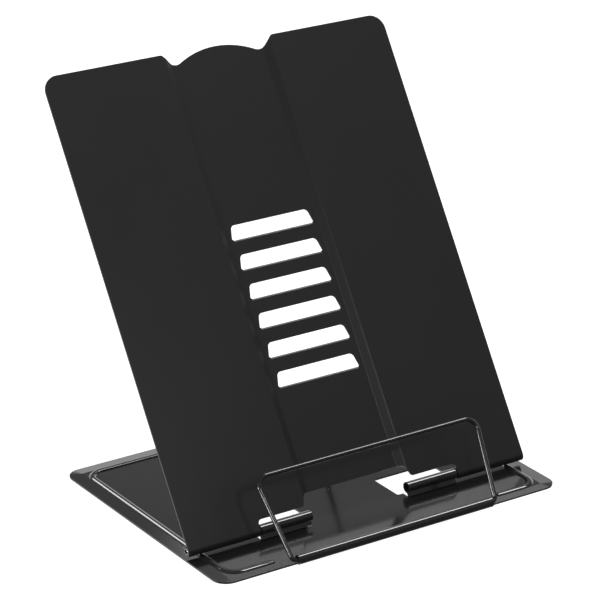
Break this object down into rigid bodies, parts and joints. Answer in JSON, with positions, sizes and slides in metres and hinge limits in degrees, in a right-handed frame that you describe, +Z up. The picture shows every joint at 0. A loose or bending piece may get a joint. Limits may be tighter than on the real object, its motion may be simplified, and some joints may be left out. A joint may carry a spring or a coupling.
{
  "type": "book display stand",
  "caption": "Folding sheet-steel book stand with a hinged slotted back panel, a wire prop behind it and a wire page bail in the front edge.",
  "frame": {"origin": "middle of the base plate's underside, on the surface that the stand rests on", "axes": "+Z up, +X to the reader's right, +Y away from the reader, towards the back of the stand"},
  "size_m": [0.1992, 0.1636, 0.2063],
  "materials": {
    "base_enamel": "gloss black enamel on pressed sheet steel",
    "panel_coat": "satin black powder coat on sheet steel",
    "pin_steel": "black oxide steel rod",
    "bail_wire": "gloss black enamelled steel wire",
    "strut_wire": "gloss black enamelled steel wire"
  },
  "bodies": {
    "base": {"base_plate": "base_enamel", "hinge_pin_left": "pin_steel", "hinge_pin_right": "pin_steel"},
    "panel": {"back_panel": "panel_coat"},
    "strut": {"support_strut": "strut_wire"},
    "bail": {"page_bail": "bail_wire"}
  },
  "joints": [
    {"name": "panel_fold", "type": "hinge", "parent": "base", "child": "panel", "pos_m": [0, -0.0428, 0.005], "axis": [1, 0, 0], "range_deg": [-54, 26.5]},
    {"name": "strut_swing", "type": "hinge", "parent": "base", "child": "strut", "pos_m": [0, 0.0222, 0.005], "axis": [1, 0, 0], "range_deg": [-118.8, 58.3]},
    {"name": "bail_tilt", "type": "hinge", "parent": "base", "child": "bail", "pos_m": [0, -0.0752, 0.0025], "axis": [1, 0, 0], "range_deg": [-8, 124]}
  ],
  "couplings": [
    {"joint": "strut_swing", "follows": "panel_fold", "ratio": 2.2}
  ]
}
